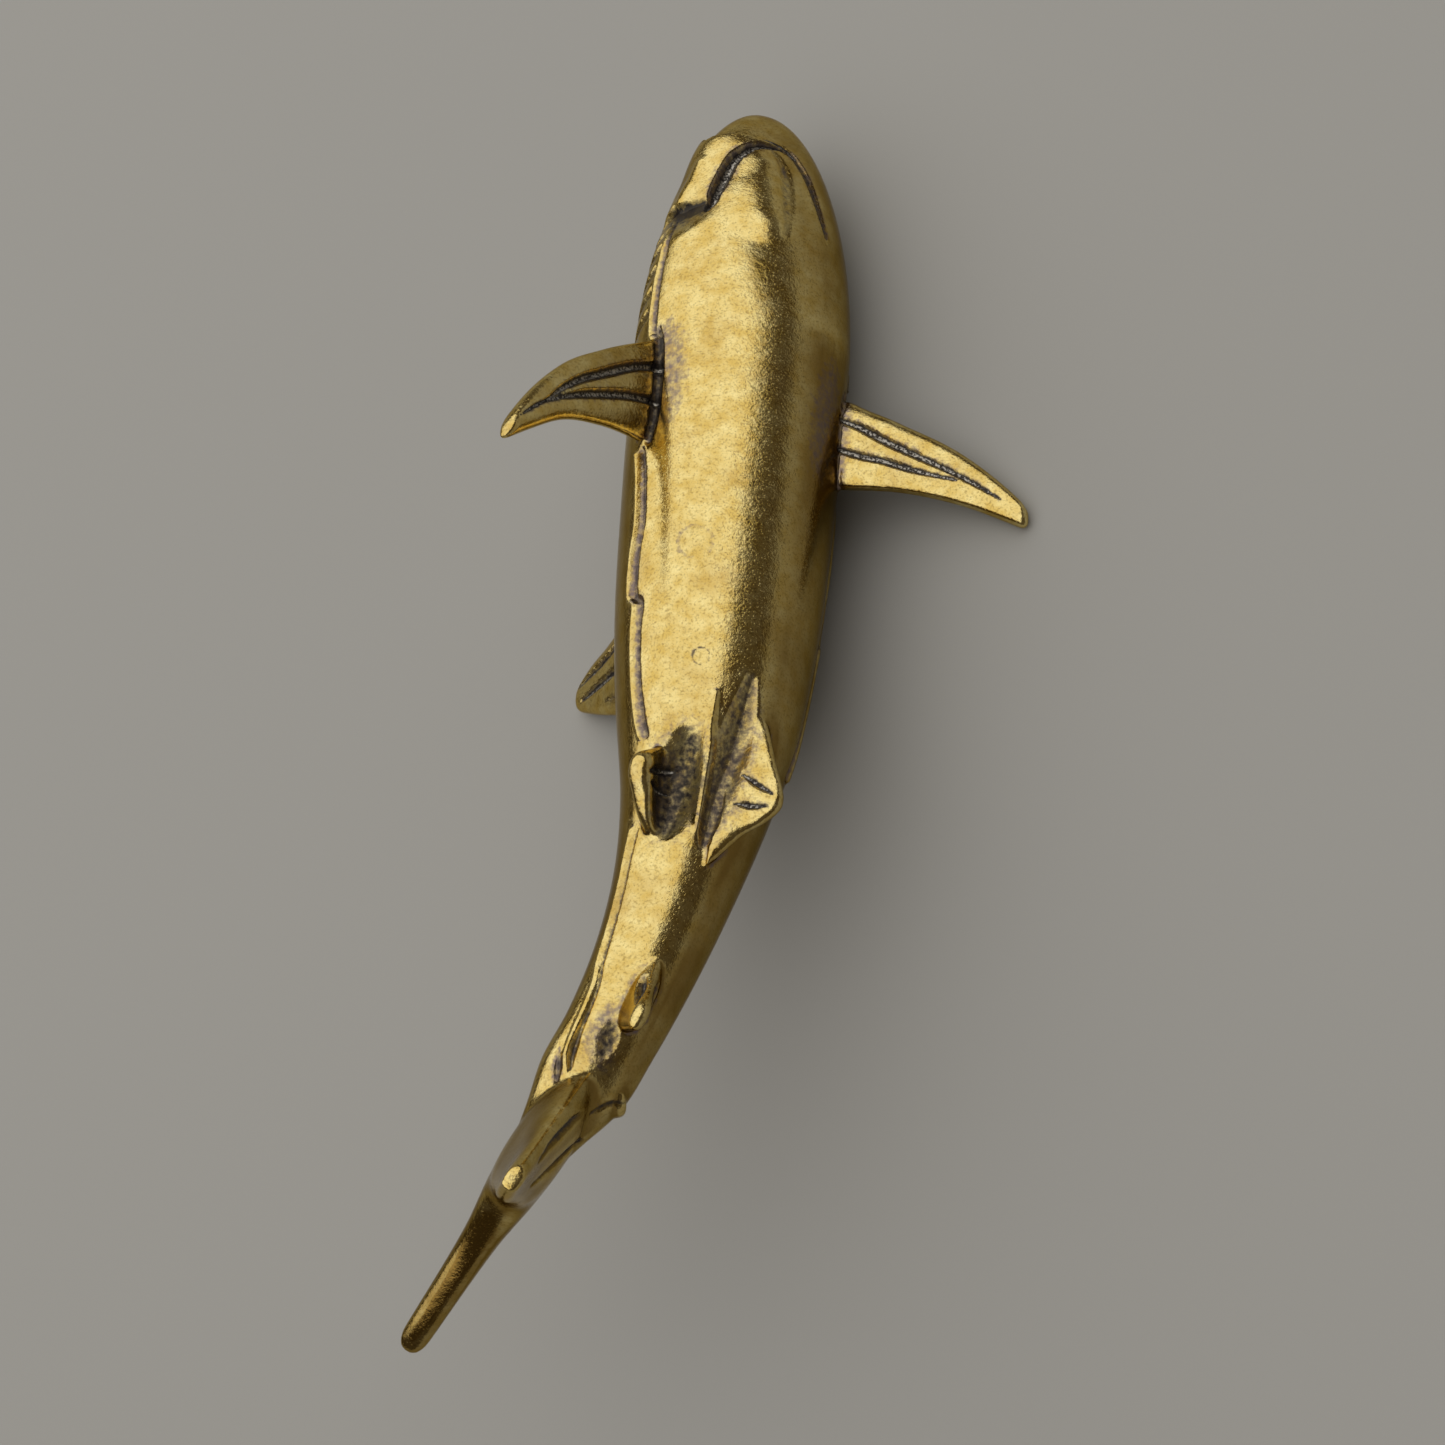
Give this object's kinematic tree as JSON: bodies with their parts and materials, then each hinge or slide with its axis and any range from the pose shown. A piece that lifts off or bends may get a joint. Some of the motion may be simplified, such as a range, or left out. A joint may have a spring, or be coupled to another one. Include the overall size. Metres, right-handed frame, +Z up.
{
  "type": "shark figurine",
  "caption": "Small solid cast brass shark with grooved fins and a bent tail, lying on its side with its belly up.",
  "frame": {"origin": "centre of the bounding box in plan, on the surface that the casting lies on", "axes": "+Z up from that surface, +Y from the tail towards the snout, +X by the right-hand rule"},
  "size_m": [0.0282, 0.0676, 0.0212],
  "materials": {
    "brass": "satin polished, darkened in the grooves"
  },
  "bodies": {
    "root": {"shark": "brass"}
  },
  "joints": []
}
